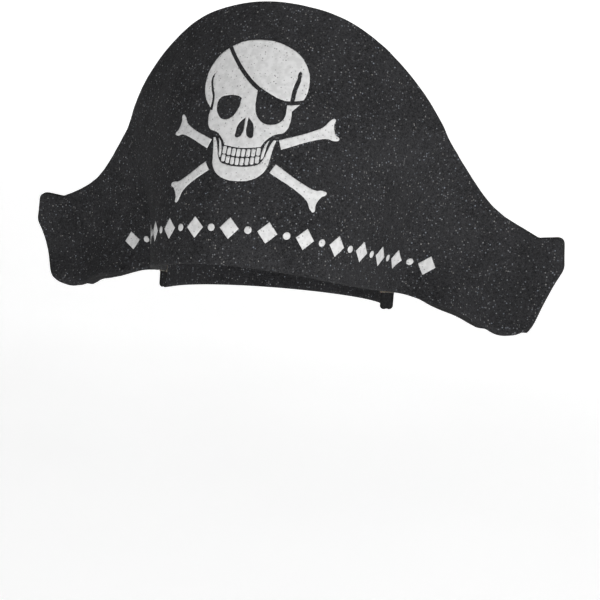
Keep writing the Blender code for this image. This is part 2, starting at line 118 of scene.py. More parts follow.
# Skull print, mm in the sheet's coordinates; a third value of 1 marks a sharp corner
SKULL_HALF = ((0, 178.5), (24, 172.5), (36, 161), (40, 147), (37.5, 135), (31, 127, 1), (31, 118),
              (28.5, 112), (21.5, 109.2), (16, 104.5), (13.4, 100.1, 1), (0, 98.7))
EYE_SOCKET = ((-6.5, 134.7, 1), (-9.1, 136.1), (-18.1, 136.6), (-24.4, 134.3), (-25.8, 129.1),
              (-23.4, 122.4), (-18.9, 118.9), (-13, 119.8), (-8, 126.5))
EYE_PATCH = ((4.4, 144, 1), (4.2, 133.7), (5.2, 126.4), (8, 120.7), (13, 116.9), (18.1, 116.3),
             (23.4, 118.1), (26.5, 121.9), (27, 127.8), (26.8, 136, 1))
PATCH_STRAP = ((-28, 180), (-15.7, 162.3), (-7, 152.2), (2.7, 143.5), (14, 136.8), (22, 133.4),
               (29, 132.7), (41, 135))
PATCH_STRAP_WIDTH = 3.0
NOSE_HALF = ((1, 120.8, 1), (0.9, 115.5), (1.2, 110), (3.2, 106.6), (6.2, 106.4), (6.6, 110), (5, 116.5))
LEFT_CREASE = ((32.4, 156.2), (33.7, 151), (32.2, 142.5), (31.4, 132, 1), (28.5, 132, 1), (29.1, 143),
               (30.8, 150.5))
RIGHT_CREASE = ((-32.4, 154.2, 1), (-35.1, 149.8), (-33.7, 141.6), (-31.4, 135.4), (-31.6, 125.5, 1),
                (-29, 125.5, 1), (-29.5, 135.9), (-31.9, 142.2), (-33.4, 149.2))
JAW_OUTER_HALF = ((0, 75.2), (8, 76), (15.5, 79.5), (19.8, 85), (21.2, 91.5), (22, 97.5), (23.6, 105.3, 1))
JAW_INNER_HALF = ((22, 105.6, 1), (20.1, 102), (18.4, 96.5), (16.8, 91.8), (14.4, 88.2), (8.8, 86.2),
                  (0, 85.4))
GUM_HALF = ((19, 105, 1), (17.2, 103.2), (15.7, 99.5), (14.9, 94.8), (15, 91.2, 1), (16.3, 92.3),
            (17.1, 96.4), (17.9, 101.8))

# Teeth: each row is (height at the middle, height of a tooth, rise towards the sides per mm squared)
TEETH_ROWS = {"upper": (95.1, 5.4, 0.010), "lower": (88.95, 5.0, 0.013)}
TEETH_ACROSS, TOOTH_PITCH, TOOTH_WIDTH, TOOTH_CORNER = 8, 3.58, 2.75, 0.6
PRINT_LEFT, PRINT_BOTTOM, PRINT_TOP = -85.0, 60.0, 200.0
CUTTER_REACH = 5.0 * MM

# Crossed bones: each arm runs from the jaw outwards, to the middle between its two end points
BONE_ARMS = {"upper_left": ((26.7, 102.4), (65, 116.8)), "lower_left": ((24.2, 85.6), (61.2, 64.4)),
             "upper_right": ((-26, 100.6), (-61.2, 114.6)), "lower_right": ((-24.6, 84.8), (-54.2, 63.9))}
BONE_HALF_SHAFT = 3.5
BONE_KNUCKLE = ((-14, 3.6), (-8, 4.8), (-2.6, 7.9), (0.5, 7.8), (-1.4, 3.2))

# Border along the rim
BORDER_LIFT = 26.0
BORDER_PITCH, BORDER_DIAMONDS = 27.0, 15
DIAMOND_HALF_WIDTH, DIAMOND_HALF_HEIGHT, BORDER_DOT_RADIUS = 7.0, 7.5, 2.6

# Camera: place, viewing direction and roll of the reference view
CAMERA_PLACE = (0.1953, -0.6777, 0.0649)
CAMERA_RIGHT = (0.96663, 0.24627, 0.07056)
CAMERA_UP = (-0.09599, 0.09281, 0.99105)
CAMERA_BACK = (0.23752, -0.96475, 0.11335)
CAMERA_LENS, CAMERA_SENSOR = 52.18, 36.0

# Seeds of the noise that makes each kind of surface uneven
PANEL_SEED, STRAP_SEED, EDGE_SEED, GLUE_SEED = 3.0, 7.0, 11.0, 5.0
INK_SEED_ACROSS, INK_SEED_UP = 21.0, 57.0

# Tolerances for joining, cutting and flattening the flat pieces
SLICE_DISTANCE, WELD_DISTANCE = 0.01 * MM, 0.005 * MM
FLAT_ANGLE = math.radians(0.2)

# Colours: dark and light ends of each mixture
FOAM_DARK, FOAM_LIGHT = (0.004, 0.004, 0.0045), (0.030, 0.030, 0.032)
# The strap's foam is a shaded copy of the panel's: a little darker, painted shade for the band under the rim
STRAP_SHADED_DARK, STRAP_SHADED_LIGHT = (0.0035, 0.0035, 0.004), (0.026, 0.026, 0.028)
CUT_DARK, CUT_LIGHT = (0.003, 0.003, 0.003), (0.016, 0.016, 0.017)
# Light grey of the painted glints on the foam, warm and cool
GLINT_PAINT_WARM, GLINT_PAINT_COOL = (0.25, 0.24, 0.225), (0.205, 0.23, 0.27)
INK_DARK, INK_LIGHT, INK_PORE = (0.52, 0.52, 0.52), (0.61, 0.61, 0.61), (0.10, 0.10, 0.10)
GLUE_DARK, GLUE_LIGHT = (0.060, 0.050, 0.034), (0.105, 0.090, 0.062)
PAPER_DARK, PAPER_LIGHT = (0.90, 0.90, 0.90), (0.93, 0.93, 0.93)

# Sizes of the foam's cells and of the ink's pores, and depth of the bumps
FOAM_CELL, CUT_CELL, INK_PORE_SIZE, INK_GRAIN_SIZE = 1.1 * MM, 0.9 * MM, 1.9 * MM, 1.1 * MM
FOAM_BUMP, CUT_BUMP, INK_BUMP, GLUE_BUMP = 0.35 * MM, 0.30 * MM, 0.15 * MM, 0.2 * MM

# Studio: a floor that curves up into a backdrop, and lamps as (name, place, target, size, power)
FLOOR_Z = -0.285
FLOOR_WIDTH, FLOOR_NEAR, FLOOR_FAR = 6.0, -3.0, 2.6
FLOOR_CURVE, FLOOR_CURVE_STEPS, BACKDROP_TOP = 1.2, 16, 3.2
FLOOR_GLOW = 0.45
LAMPS = (("key", (0.35, -1.1, -0.25), (0.05, 0.0, -0.02), 0.7, 10.0),
         ("fill", (1.3, -0.9, 0.3), (0.1, 0.0, 0.05), 1.0, 4.0))


def smooth_step(value, centre, half_width):
    """Rise from 0 to 1 over centre - half_width to centre + half_width."""
    share = np.clip((value - centre) / (2 * half_width) + 0.5, 0.0, 1.0)
    return share * share * (3 - 2 * share)


def smooth_height(knots, places):
    """Heights, in m, of the smooth curve through knots, in mm, at distances from the centre, in m."""
    s_knots, h_knots = np.array(knots, float).T
    slopes = np.zeros(len(knots))
    slopes[1:-1] = (h_knots[2:] - h_knots[:-2]) / (s_knots[2:] - s_knots[:-2])
    slopes[-1] = (h_knots[-1] - h_knots[-2]) / (s_knots[-1] - s_knots[-2])
    place = np.clip(np.abs(places) / MM, 0, s_knots[-1])
    below = np.clip(np.searchsorted(s_knots, place, side="right") - 1, 0, len(knots) - 2)
    width = s_knots[below + 1] - s_knots[below]
    share = (place - s_knots[below]) / width
    hermite = ((2 * share ** 3 - 3 * share ** 2 + 1) * h_knots[below]
               + (3 * share ** 2 - 2 * share ** 3) * h_knots[below + 1]
               + (share ** 3 - 2 * share ** 2 + share) * width * slopes[below]
               + (share ** 3 - share ** 2) * width * slopes[below + 1])
    return hermite * MM


def turn_size(turn, above_rim):
    """Size of one turn, in radians, at a height above the rim."""
    settled, extra, fade = turn
    return math.radians(settled + extra * math.exp(-above_rim / fade))


def heading(along, above_rim):
    """Direction of the surface in plan at each distance along it, 0 across and 90 degrees back."""
    settled, extra, fade = FOREHEAD_TURN
    forehead_top = math.radians(settled) * np.sin(np.clip(along / FOREHEAD_REACH_TOP, 0, 1) * math.pi / 2)
    forehead_rim = (math.radians(extra) * math.exp(-(above_rim / fade) ** 2)
                    * smooth_step(along, FOREHEAD_REACH_RIM / 2, FOREHEAD_REACH_RIM / 2))
    return (forehead_top + forehead_rim
            + turn_size(TEMPLE_TURN, above_rim) * smooth_step(along, TEMPLE_PLACE, TEMPLE_WIDTH)
            + turn_size(WING_TURN, above_rim) * smooth_step(along, WING_PLACE, WING_WIDTH)
            + turn_size(TIP_TURN, above_rim)
            * smooth_step(along, TIP_PLACE + TIP_SLANT * above_rim, TIP_WIDTH))


def plan_tables():
    """How far across and back the surface has come, by height above the rim and distance along it."""
    middles = (np.arange(TABLE_REACH) + 0.5) * TABLE_STEP
    across = np.zeros((TABLE_HEIGHT, TABLE_REACH + 1))
    back = np.zeros((TABLE_HEIGHT, TABLE_REACH + 1))
    for row in range(TABLE_HEIGHT):
        angles = heading(middles, row * TABLE_STEP)
        across[row, 1:] = np.cumsum(np.cos(angles)) * TABLE_STEP
        back[row, 1:] = np.cumsum(np.sin(angles)) * TABLE_STEP
    return across, back


def look_up(table, along, above_rim):
    """Value of a plan table between its entries."""
    column = np.clip(along / TABLE_STEP, 0, TABLE_REACH - 1e-6)
    row = np.clip(above_rim / TABLE_STEP, 0, TABLE_HEIGHT - 1 - 1e-6)
    left, low = column.astype(int), row.astype(int)
    x, y = column - left, row - low
    lower = table[low, left] * (1 - x) + table[low, left + 1] * x
    upper = table[low + 1, left] * (1 - x) + table[low + 1, left + 1] * x
    return lower * (1 - y) + upper * y


def face_points(s, h):
    """Points of the panel's front face at sheet coordinates s, h."""
    above_rim = np.maximum(h - smooth_height(RIM, s), 0.0)
    across = look_up(ACROSS_TABLE, np.abs(s), above_rim)
    back = look_up(BACK_TABLE, np.abs(s), above_rim)
    lean = LEAN_SLOPE * (above_rim - LEAN_START * (1 - np.exp(-above_rim / LEAN_START)))
    rise = WING_RISE * smooth_step(-s, RISE_PLACE, RISE_WIDTH)
    return np.stack([np.copysign(across, s), FRONT_Y + lean + back, h + rise], axis=1)


def face_normals(s, h):
    """Outward directions of the front face at sheet coordinates s, h."""
    reach = 1.5 * MM
    across = face_points(s + reach, h) - face_points(s - reach, h)
    upward = face_points(s, h + reach) - face_points(s, h - reach)
    normals = np.cross(across, upward)
    return normals / np.linalg.norm(normals, axis=1)[:, None]


def noise_at(points, wavelength, seed):
    """Smooth noise between about -1 and 1 at each row of points."""
    offset = Vector((seed, seed, seed))
    return np.array([noise.noise(Vector(point) / wavelength + offset) for point in points])


def relief(points, seed):
    """Slow unevenness of a foam sheet at points, two or three values each."""
    spots = np.zeros((len(points), 3))
    spots[:, :points.shape[1]] = points
    total = np.zeros(len(points))
    for size, wavelength in RELIEF:
        total += size * noise_at(spots, wavelength, seed)
    return total


def vertex_array(mesh):
    values = np.zeros(len(mesh.vertices) * 3)
    mesh.vertices.foreach_get("co", values)
    return values.reshape(-1, 3)


def set_vertices(mesh, values):
    mesh.vertices.foreach_set("co", values.ravel())
    mesh.update()


def bend(mesh):
    """Carry a flat piece, drawn in s, h and height off the face, onto the hat's uneven surface."""
    s, h, off = vertex_array(mesh).T
    lift = off + relief(np.stack([s, h], axis=1), PANEL_SEED)
    set_vertices(mesh, face_points(s, h) + face_normals(s, h) * lift[:, None])


def slice_mesh(edit, columns, rows):
    """Split a flat piece along straight lines, so that it can bend."""
    for normal, places in (((1, 0, 0), columns), ((0, 1, 0), rows)):
        for place in places:
            geometry = edit.verts[:] + edit.edges[:] + edit.faces[:]
            bmesh.ops.bisect_plane(edit, geom=geometry, plane_co=Vector(normal) * place, plane_no=normal,
                                   dist=SLICE_DISTANCE)


def grid_lines(low, high, step):
    """Multiples of step between low and high."""
    return [float(index) * step for index in range(math.ceil(low / step), math.floor(high / step) + 1)]


def new_piece(name, mesh, materials):
    """Shown piece of the hat with its materials, riding on the hat's one body."""
    piece = bpy.data.objects.new(name, mesh)
    bpy.context.scene.collection.objects.link(piece)
    for material in materials:
        mesh.materials.append(material)
    mesh.shade_smooth()
    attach(piece, "root")
    return piece


# ---------------------------------------------------------------- materials

def new_material(name):
    material = bpy.data.materials.new(name)
    material.use_nodes = True
    return material, material.node_tree, material.node_tree.nodes["Principled BSDF"]


def add_node(tree, kind, values=None, **settings):
    """New node with settings as attributes and values as its inputs; a node output is linked."""
    node = tree.nodes.new(kind)
    for key, value in settings.items():
        setattr(node, key, value)
    for key, value in (values or {}).items():
        if isinstance(value, bpy.types.NodeSocket):
            tree.links.new(value, node.inputs[key])
        else:
            node.inputs[key].default_value = value
    return node


def object_place(tree):
    return add_node(tree, "ShaderNodeTexCoord").outputs["Object"]


def cells(tree, place, size, randomness=1.0):
    """Voronoi cells of about a size, in m."""
    return add_node(tree, "ShaderNodeTexVoronoi", {"Vector": place, "Scale": 1 / size,
                                                   "Randomness": randomness})


def clouds(tree, place, size, detail=2.0):
    return add_node(tree, "ShaderNodeTexNoise", {"Vector": place, "Scale": 1 / size,
                                                 "Detail": detail}).outputs["Fac"]


def remap(tree, value, low, high, new_low, new_high, kind="SMOOTHSTEP"):
    node = add_node(tree, "ShaderNodeMapRange", {"Value": value, "From Min": low, "From Max": high,
                                                 "To Min": new_low, "To Max": new_high},
                    interpolation_type=kind)
    return node.outputs["Result"]


def maths(tree, operation, first, second):
    node = add_node(tree, "ShaderNodeMath", {0: first, 1: second}, operation=operation)
    return node.outputs["Value"]


def mix_colours(tree, share, first, second):
    node = add_node(tree, "ShaderNodeMix", {"Factor": share}, data_type="RGBA")
    for key, value in ((6, first), (7, second)):
        if isinstance(value, bpy.types.NodeSocket):
            tree.links.new(value, node.inputs[key])
        else:
            node.inputs[key].default_value = (*value, 1.0)
    return node.outputs[2]


def random_red(tree, voronoi):
    """One random number for each cell."""
    split = add_node(tree, "ShaderNodeSeparateColor", {"Color": voronoi.outputs["Color"]})
    return split.outputs["Red"], split.outputs["Green"]


def foam_material(name, dark, light, glint_share, cell_size, bump_depth):
    """Open-cell foam: small pores between lighter walls, with painted shade in the pores, and scattered
    cells whose glints are painted in as light grey colour on a lower roughness.
    """
    material, tree, shader = new_material(name)
    place = object_place(tree)
    # Painted shade: each cell darkens towards its pore; the patches and grain are the foam's own uneven tone
    pores = cells(tree, place, cell_size)
    walls = remap(tree, pores.outputs["Distance"], 0.12, 0.70, 0.0, 1.0)
    patches = remap(tree, clouds(tree, place, 0.030), 0.3, 0.7, 0.0, 0.25)
    grain = remap(tree, clouds(tree, place, cell_size * 1.8, 3.0), 0.35, 0.68, 0.0, 0.45)
    tone = maths(tree, "ADD", maths(tree, "MULTIPLY", walls, 0.55), maths(tree, "ADD", patches, grain))
    colour = mix_colours(tree, tone, dark, light)

    # Painted glints: scattered cells get a light grey base colour that stands in for light caught by their
    # cell windows, and a lower roughness as well
    glint_cells = cells(tree, place, cell_size * 1.3)
    chance, warmth = random_red(tree, glint_cells)
    near = remap(tree, glint_cells.outputs["Distance"], 0.15, 0.55, 1.0, 0.0)
    shine = remap(tree, chance, 1.0 - glint_share, 1.0, 0.0, 1.0, "LINEAR")
    painted_glint = maths(tree, "MULTIPLY", near, maths(tree, "POWER", shine, 2.6))
    painted_glint_colour = mix_colours(tree, warmth, GLINT_PAINT_WARM, GLINT_PAINT_COOL)
    colour = mix_colours(tree, painted_glint, colour, painted_glint_colour)
    tree.links.new(colour, shader.inputs["Base Color"])

    roughness = remap(tree, painted_glint, 0.0, 1.0, 0.92, 0.45, "LINEAR")
    tree.links.new(roughness, shader.inputs["Roughness"])
    shader.inputs["Specular IOR Level"].default_value = 0.12

    fine = clouds(tree, place, cell_size * 0.45, 3.0)
    height = maths(tree, "ADD", walls, maths(tree, "MULTIPLY", fine, 0.5))
    bump = add_node(tree, "ShaderNodeBump", {"Strength": 0.8, "Distance": bump_depth, "Height": height})
    tree.links.new(bump.outputs["Normal"], shader.inputs["Normal"])
    return material


def ink_material():
    """White screen ink that has sunk into the foam's skin, with small pores and a faint mottle."""
    material, tree, shader = new_material("screen_ink")
    place = object_place(tree)
    mottle = remap(tree, clouds(tree, place, 0.004, 3.0), 0.35, 0.65, 0.0, 1.0)
    colour = mix_colours(tree, mottle, INK_DARK, INK_LIGHT)
    pores = cells(tree, place, INK_PORE_SIZE)
    chance, depth = random_red(tree, pores)
    near = remap(tree, pores.outputs["Distance"], 0.12, 0.36, 1.0, 0.0)
    open_pore = remap(tree, chance, 0.34, 0.56, 0.0, 1.0)
    pit = maths(tree, "MULTIPLY", maths(tree, "MULTIPLY", near, open_pore), depth)
    colour = mix_colours(tree, pit, colour, INK_PORE)
    tree.links.new(colour, shader.inputs["Base Color"])
    shader.inputs["Roughness"].default_value = 0.62
    shader.inputs["Specular IOR Level"].default_value = 0.35
    grain = cells(tree, place, INK_GRAIN_SIZE).outputs["Distance"]
    height = maths(tree, "SUBTRACT", maths(tree, "MULTIPLY", grain, 0.35), pit)
    bump = add_node(tree, "ShaderNodeBump", {"Strength": 0.5, "Distance": INK_BUMP, "Height": height})
    tree.links.new(bump.outputs["Normal"], shader.inputs["Normal"])
    return material


def glue_material():
    """Dried contact adhesive: dark amber, a little glossy and cloudy."""
    material, tree, shader = new_material("contact_glue")
    place = object_place(tree)
    cloud = remap(tree, clouds(tree, place, 0.003, 3.0), 0.3, 0.7, 0.0, 1.0)
    colour = mix_colours(tree, cloud, GLUE_DARK, GLUE_LIGHT)
    tree.links.new(colour, shader.inputs["Base Color"])
    shader.inputs["Roughness"].default_value = 0.35
    shader.inputs["Subsurface Weight"].default_value = 0.2
    shader.inputs["Subsurface Scale"].default_value = 0.001
    bump = add_node(tree, "ShaderNodeBump", {"Strength": 0.6, "Distance": GLUE_BUMP, "Height": cloud})
    tree.links.new(bump.outputs["Normal"], shader.inputs["Normal"])
    return material


# ---------------------------------------------------------------- foam panel

def rounded_corner(before, corner, after, radius):
    """Arc-like rounding of a corner, as points in mm."""
    start = corner + (before - corner).normalized() * radius
    end = corner + (after - corner).normalized() * radius
    shares = [step / CORNER_STEPS for step in range(CORNER_STEPS + 1)]
    return [start * (1 - t) ** 2 + corner * 2 * t * (1 - t) + end * t ** 2 for t in shares]


def even_spacing(points, step):
    """Points at about a step apart along a closed line."""
    closed = np.vstack([points, points[:1]])
    lengths = np.concatenate([[0], np.cumsum(np.linalg.norm(np.diff(closed, axis=0), axis=1))])
    count = int(lengths[-1] / step)
    places = np.arange(count) * lengths[-1] / count
    return np.stack([np.interp(places, lengths, closed[:, axis]) for axis in (0, 1)], axis=1)


def panel_outline():
    """Closed outline of the sheet in mm, clockwise from the top centre."""
    crown_end, rim_end = CROWN[-1][0], RIM[-1][0]
    crown_places = np.arange(0, crown_end + OUTLINE_STEP / 2, OUTLINE_STEP)
    rim_places = np.arange(0, rim_end, OUTLINE_STEP)[::-1]
    crown = np.stack([crown_places, smooth_height(CROWN, crown_places * MM) / MM], axis=1)
    rim = np.stack([rim_places, smooth_height(RIM, rim_places * MM) / MM], axis=1)
    corners = [Vector(corner[:2]) for corner in TIP_CORNERS]
    chain = [Vector(crown[-1])] + corners + [Vector((rim_end, RIM[-1][1]))]
    tip = []
    for index, corner in enumerate(TIP_CORNERS):
        tip += rounded_corner(chain[index], chain[index + 1], chain[index + 2], corner[2])
    right = np.vstack([crown, np.array([tuple(point) for point in tip]), rim])
    left = right[1:-1][::-1] * (-1, 1)
    return even_spacing(np.vstack([right, left]), OUTLINE_STEP)


def outward(points):
    """Unit normals, pointing out, of a clockwise closed line."""
    run = np.roll(points, -1, axis=0) - np.roll(points, 1, axis=0)
    run /= np.linalg.norm(run, axis=1)[:, None]
    return np.stack([-run[:, 1], run[:, 0]], axis=1)


def edge_profile(rounding):
    """Section of the die-cut edge, front to rear, as (inset, depth) in mm."""
    thickness = FOAM_THICKNESS / MM
    profile = []
    for step in range(ROUNDING_STEPS + 1):
        angle = step / ROUNDING_STEPS * math.pi / 2
        profile.append((rounding * (1 - math.sin(angle)), rounding * (1 - math.cos(angle))))
    span = thickness - 2 * rounding
    for step in range(1, HOLLOW_STEPS):
        share = step / HOLLOW_STEPS
        profile.append((EDGE_HOLLOW * math.sin(share * math.pi) ** 2, rounding + span * share))
    rear = [(inset, thickness - depth) for inset, depth in reversed(profile[:ROUNDING_STEPS + 1])]
    return profile + rear


def make_panel():
    """Foam sheet with rounded, slightly hollow cut edges, bent to the hat's shape."""
    outline = panel_outline()
    normals = outward(outline)
    spots = np.column_stack([outline, np.zeros(len(outline))])
    wander = noise_at(spots, EDGE_WANDER_LENGTH, EDGE_SEED)
    outline = outline + normals * (wander * EDGE_WANDER)[:, None]
    edit = bmesh.new()
    loops = []
    for inset, depth in edge_profile(EDGE_ROUNDING):
        flat = outline - normals * inset
        loops.append([edit.verts.new((s * MM, h * MM, -depth * MM)) for s, h in flat])
    count = len(outline)
    for level, (upper, lower) in enumerate(zip(loops, loops[1:])):
        is_wall = ROUNDING_STEPS // 2 < level < len(loops) - 2 - ROUNDING_STEPS // 2
        for index in range(count):
            after = (index + 1) % count
            face = edit.faces.new([upper[index], upper[after], lower[after], lower[index]])
            face.material_index = 1 if is_wall else 0
    caps = [edit.faces.new(loops[0]), edit.faces.new(list(reversed(loops[-1])))]
    bmesh.ops.triangulate(edit, faces=caps)
    bmesh.ops.recalc_face_normals(edit, faces=edit.faces[:])
    reach = TABLE_REACH * MM
    slice_mesh(edit, grid_lines(-reach, reach, PANEL_GRID),
               grid_lines(PANEL_LOWEST, PANEL_HIGHEST, PANEL_GRID))
    mesh = bpy.data.meshes.new("foam_panel")
    edit.to_mesh(mesh)
    edit.free()
    bend(mesh)
    panel = new_piece("foam_panel", mesh, [FOAM, CUT_FOAM])
    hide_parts("front_panel")


# ---------------------------------------------------------------- strap and glue

def rear_points(s, h, clearance):
    """Points a clearance behind the panel's rear face at sheet coordinates s, h."""
    lift = relief(np.stack([s, h], axis=1), PANEL_SEED) - FOAM_THICKNESS - clearance
    return face_points(s, h) + face_normals(s, h) * lift[:, None]


def rear_places(x, h, clearance):
    """Sheet coordinates s at which the surface a clearance behind the panel reaches x."""
    near, far = np.full_like(x, REAR_SEARCH[0]), np.full_like(x, REAR_SEARCH[1])
    for halving in range(SEARCH_STEPS):
        middle = (near + far) / 2
        short = rear_points(middle, h, clearance)[:, 0] < x
        near, far = np.where(short, middle, near), np.where(short, far, middle)
    return (near + far) / 2


def strap_points(station, level, off):
    """Points on the left half of the strap; station runs from 0 at its end to STRAP_STEPS at the back."""
    h = STRAP_MIDDLE + level * STRAP_HALF_HEIGHT
    start = np.stack([STRAP_START[0] - off, np.full_like(off, STRAP_START[1]), h], axis=1)
    end_clearance = GLUE_THICKNESS - GLUE_BED
    root = rear_points(rear_places(STRAP_ROOT_X - off, h, end_clearance), h, end_clearance)
    straight = root + (start - root) * (station / STRAP_ROOT_STEPS)[:, None]
    back = np.stack([np.zeros_like(off), -FRONT_Y - off, h], axis=1)
    shrink = (1 - off / HEAD_LENGTH)[:, None]
    handle_side = start + np.array(STRAP_DIRECTION) * STRAP_SIDE_HANDLE * shrink
    handle_back = back + np.array((STRAP_BACK_HANDLE, 0, 0)) * shrink
    share = np.clip((station - STRAP_ROOT_STEPS) / (STRAP_STEPS - STRAP_ROOT_STEPS), 0, 1)[:, None]
    rest = 1 - share
    curve = (start * rest ** 3 + handle_side * 3 * share * rest ** 2
             + handle_back * 3 * share ** 2 * rest + back * share ** 3)
    return np.where((station < STRAP_ROOT_STEPS)[:, None], straight, curve)


def strap_section():
    """Closed section of the strap as (level, depth off the outer face), with the panel's cut edges."""
    half_height = STRAP_HALF_HEIGHT / MM
    profile = edge_profile(STRAP_ROUNDING)
    upper = [((half_height - inset) / half_height, depth * MM) for inset, depth in profile]
    rows = int(2 * half_height / (PANEL_GRID / MM))
    top_level, bottom_level = upper[-1][0], -upper[-1][0]
    inner = [(top_level + (bottom_level - top_level) * row / rows, FOAM_THICKNESS) for row in range(1, rows)]
    lower = [(-level, depth) for level, depth in reversed(upper)]
    outer = [(bottom_level + (top_level - bottom_level) * row / rows, 0.0) for row in range(1, rows)]
    walls = [ROUNDING_STEPS // 2 < index < len(profile) - 2 - ROUNDING_STEPS // 2
             for index in range(len(profile) - 1)]
    is_wall = walls + [False] * rows + walls + [False] * rows
    return upper + inner + lower + outer, is_wall


def make_strap():
    """Foam band from one temple round the back of the head to the other."""
    section, is_wall = strap_section()
    stations = np.arange(0, 2 * STRAP_STEPS * STRAP_DIVISIONS + 1) / STRAP_DIVISIONS
    level, depth = np.array(section).T
    edit = bmesh.new()
    rings = []
    for station in stations:
        from_end = min(station, 2 * STRAP_STEPS - station)
        points = strap_points(np.full(len(section), from_end), level, depth)
        if station > STRAP_STEPS:
            points[:, 0] *= -1
        outward_bulge = relief(points, STRAP_SEED)
        points[:, 1] += outward_bulge * min(from_end / STRAP_ROOT_STEPS, 1.0)
        rings.append([edit.verts.new(point) for point in points])
    count = len(section)
    for first, second in zip(rings, rings[1:]):
        for index in range(count):
            after = (index + 1) % count
            face = edit.faces.new([first[index], first[after], second[after], second[index]])
            face.material_index = 1 if is_wall[index] else 0
    ends = [edit.faces.new(rings[0]), edit.faces.new(rings[-1])]
    for end in ends:
        end.material_index = 1
    bmesh.ops.triangulate(edit, faces=ends)
    bmesh.ops.recalc_face_normals(edit, faces=edit.faces[:])
    mesh = bpy.data.meshes.new("head_strap")
    edit.to_mesh(mesh)
    edit.free()
    strap = new_piece("head_strap", mesh, [SHADED_STRAP_FOAM, CUT_FOAM])
    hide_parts("back_strap")


def make_glue(side, sign):
    """Bed of adhesive between one end of the strap and the panel, squeezed out a little unevenly."""
    across, along, layers = GLUE_ACROSS, GLUE_ALONG, GLUE_LAYERS
    edit = bmesh.new()
    grid = []
    for layer in range(layers + 1):
        squeeze = GLUE_SQUEEZE * math.sin(layer / layers * math.pi)
        u, v = np.meshgrid(np.linspace(-1, 1, along + 1), np.linspace(-1, 1, across + 1), indexing="ij")
        u, v = u.ravel(), v.ravel()
        spots = np.stack([u, v, np.zeros_like(u)], axis=1)
        wander = noise_at(spots, GLUE_WANDER_LENGTH, GLUE_SEED + sign) * GLUE_WANDER
        rim_share = np.maximum(np.abs(u), np.abs(v)) ** 6
        push = (squeeze + wander) * rim_share
        half_h = (GLUE_HIGH - GLUE_LOW) / 2 * STRAP_HALF_HEIGHT
        h = STRAP_MIDDLE + (GLUE_HIGH + GLUE_LOW) / 2 * STRAP_HALF_HEIGHT + u * (half_h + push)
        x = STRAP_ROOT_X - FOAM_THICKNESS / 2 + v * (FOAM_THICKNESS / 2 + push)
        points = rear_points(rear_places(x, h, 0.0), h, -GLUE_BED + GLUE_THICKNESS * layer / layers)
        points[:, 0] *= sign
        grid.append(np.array([edit.verts.new(point) for point in points]).reshape(along + 1, across + 1))
    for layer in (0, layers):
        for i in range(along):
            for j in range(across):
                edit.faces.new([grid[layer][i, j], grid[layer][i + 1, j],
                                grid[layer][i + 1, j + 1], grid[layer][i, j + 1]])
    ring = ([(i, 0) for i in range(along)] + [(along, j) for j in range(across)]
            + [(i, across) for i in range(along, 0, -1)] + [(0, j) for j in range(across, 0, -1)])
    for lower, upper in zip(grid, grid[1:]):
        for index, spot in enumerate(ring):
            after = ring[(index + 1) % len(ring)]
            edit.faces.new([lower[spot], lower[after], upper[after], upper[spot]])
    bmesh.ops.recalc_face_normals(edit, faces=edit.faces[:])
    mesh = bpy.data.meshes.new(f"glue_bed_{side}")
    edit.to_mesh(mesh)
    edit.free()
    bed = new_piece(f"glue_bed_{side}", mesh, [GLUE])
    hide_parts(f"{side}_glue_pad")


# ---------------------------------------------------------------- printed ink

def flat_plate(name, outlines, low, high):
    """Closed plate between heights low and high, from outlines of (s, h[, corner]) anchors in mm."""
    curve = bpy.data.curves.new(name, "CURVE")
    curve.dimensions = "2D"
    curve.fill_mode = "BOTH"
    curve.resolution_u = INK_CURVE_STEPS
    curve.extrude = (high - low) / 2
    for anchors in outlines:
        spline = curve.splines.new("BEZIER")
        spline.bezier_points.add(len(anchors) - 1)
        spline.use_cyclic_u = True
        for point, anchor in zip(spline.bezier_points, anchors):
            point.co = (anchor[0] * MM, anchor[1] * MM, 0)
            sharp = len(anchor) > 2 and anchor[2]
            point.handle_left_type = point.handle_right_type = "VECTOR" if sharp else "AUTO"
    plate = bpy.data.objects.new(name, curve)
    bpy.context.scene.collection.objects.link(plate)
    plate.location.z = (high + low) / 2
    return mesh_of(plate)


def mesh_of(source):
    """Replace an object by a plain mesh of what it evaluates to, in world coordinates."""
    bpy.context.view_layer.update()
    depsgraph = bpy.context.evaluated_depsgraph_get()
    mesh = bpy.data.meshes.new_from_object(source.evaluated_get(depsgraph), depsgraph=depsgraph)
    mesh.transform(source.matrix_world)
    name = source.name
    bpy.data.objects.remove(source)
    plain = bpy.data.objects.new(name, mesh)
    bpy.context.scene.collection.objects.link(plain)
    edit = bmesh.new()
    edit.from_mesh(mesh)
    bmesh.ops.remove_doubles(edit, verts=edit.verts, dist=WELD_DISTANCE)
    bmesh.ops.dissolve_limit(edit, angle_limit=FLAT_ANGLE, verts=edit.verts, edges=edit.edges)
    edit.to_mesh(mesh)
    edit.free()
    return plain


def cut(plate, operation, outline):
    """Cut or keep the part of a plate that an outline covers."""
    cutter = flat_plate("cutter", [outline], -CUTTER_REACH, CUTTER_REACH)
    boolean = plate.modifiers.new("cut", "BOOLEAN")
    boolean.operation = operation
    boolean.object = cutter
    result = mesh_of(plate)
    bpy.data.objects.remove(cutter)
    return result


def ink_plate(outlines):
    """Flat island of ink."""
    return flat_plate("flat_ink", outlines, INK_LOW, INK_HIGH)


